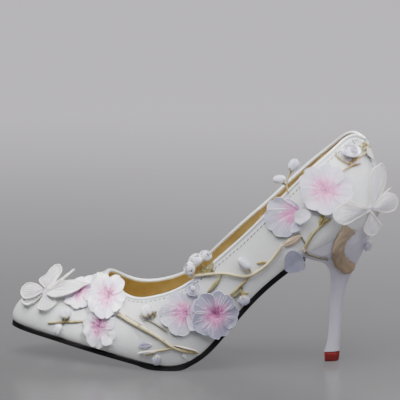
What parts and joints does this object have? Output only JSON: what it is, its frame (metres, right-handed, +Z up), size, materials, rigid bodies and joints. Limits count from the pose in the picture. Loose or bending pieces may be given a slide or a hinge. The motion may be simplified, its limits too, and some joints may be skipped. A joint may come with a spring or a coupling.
{
  "type": "high heel court shoe",
  "caption": "Pointed-toe court shoe on a slim high heel, hollow upper over a thin sole, dressed with sewn-on blossom, branches and gauze butterflies; worn on the left foot.",
  "frame": {"origin": "on the floor, in the middle of the flat spot under the forefoot tread", "axes": "+X runs from the toe to the heel, +Y to the inner side of the foot, +Z up"},
  "size_m": [0.2561, 0.0822, 0.1518],
  "materials": {
    "white_leather": "smooth, softly glossy",
    "tan_lining": "matt",
    "black_sole": "satin",
    "white_heel": "smooth leather-like cover",
    "red_top_lift": "satin",
    "petal_fabric": "embroidered organza",
    "gold_thread": "satin stitch",
    "tan_thread": "satin stitch",
    "white_gauze": "sheer, with stitched edges"
  },
  "bodies": {
    "root": {"back_strip": "white_leather", "blossom_arch": "petal_fabric", "blossom_counter": "petal_fabric", "blossom_quarter": "petal_fabric", "blossom_throat": "petal_fabric", "blossom_toe": "petal_fabric", "blossom_vamp": "petal_fabric", "blossom_waist": "petal_fabric", "branch_arch_fork": "gold_thread", "branch_collar_front": "gold_thread", "branch_collar_high": "gold_thread", "branch_collar_low": "gold_thread", "branch_collar_middle": "gold_thread", "branch_counter": "gold_thread", "branch_quarter_leaf": "gold_thread", "branch_seat": "gold_thread", "branch_spray": "gold_thread", "branch_toe": "gold_thread", "branch_topline": "gold_thread", "branch_topline_fork": "gold_thread", "branch_vamp": "gold_thread", "branch_vamp_fork": "gold_thread", "branch_vamp_twig": "gold_thread", "bud_arch": "petal_fabric", "bud_breast_petal": "petal_fabric", "bud_counter_petal": "petal_fabric", "bud_heel_back": "petal_fabric", "bud_quarter": "petal_fabric", "bud_rose": "petal_fabric", "bud_spray_high": "petal_fabric", "bud_spray_low": "petal_fabric", "bud_toe_lower": "petal_fabric", "bud_toe_upper": "petal_fabric", "bud_topline_1": "petal_fabric", "bud_topline_2": "petal_fabric", "bud_topline_3": "petal_fabric", "bud_tread": "petal_fabric", "bud_vamp": "petal_fabric", "bud_waist": "petal_fabric", "butterfly_heel_body": "white_gauze", "butterfly_heel_wing_back": "white_gauze", "butterfly_heel_wing_long": "white_gauze", "butterfly_heel_wing_low": "white_gauze", "butterfly_heel_wing_upper": "white_gauze", "butterfly_toe_body": "white_gauze", "butterfly_toe_wing_front": "white_gauze", "butterfly_toe_wing_long": "white_gauze", "butterfly_toe_wing_low": "white_gauze", "butterfly_toe_wing_side": "white_gauze", "butterfly_toe_wing_upper": "white_gauze", "heel": "white_heel", "heel_trunk": "tan_thread", "insole": "tan_lining", "outsole": "black_sole", "top_lift": "red_top_lift", "topline_binding": "white_leather", "upper": "white_leather"}
  },
  "joints": []
}
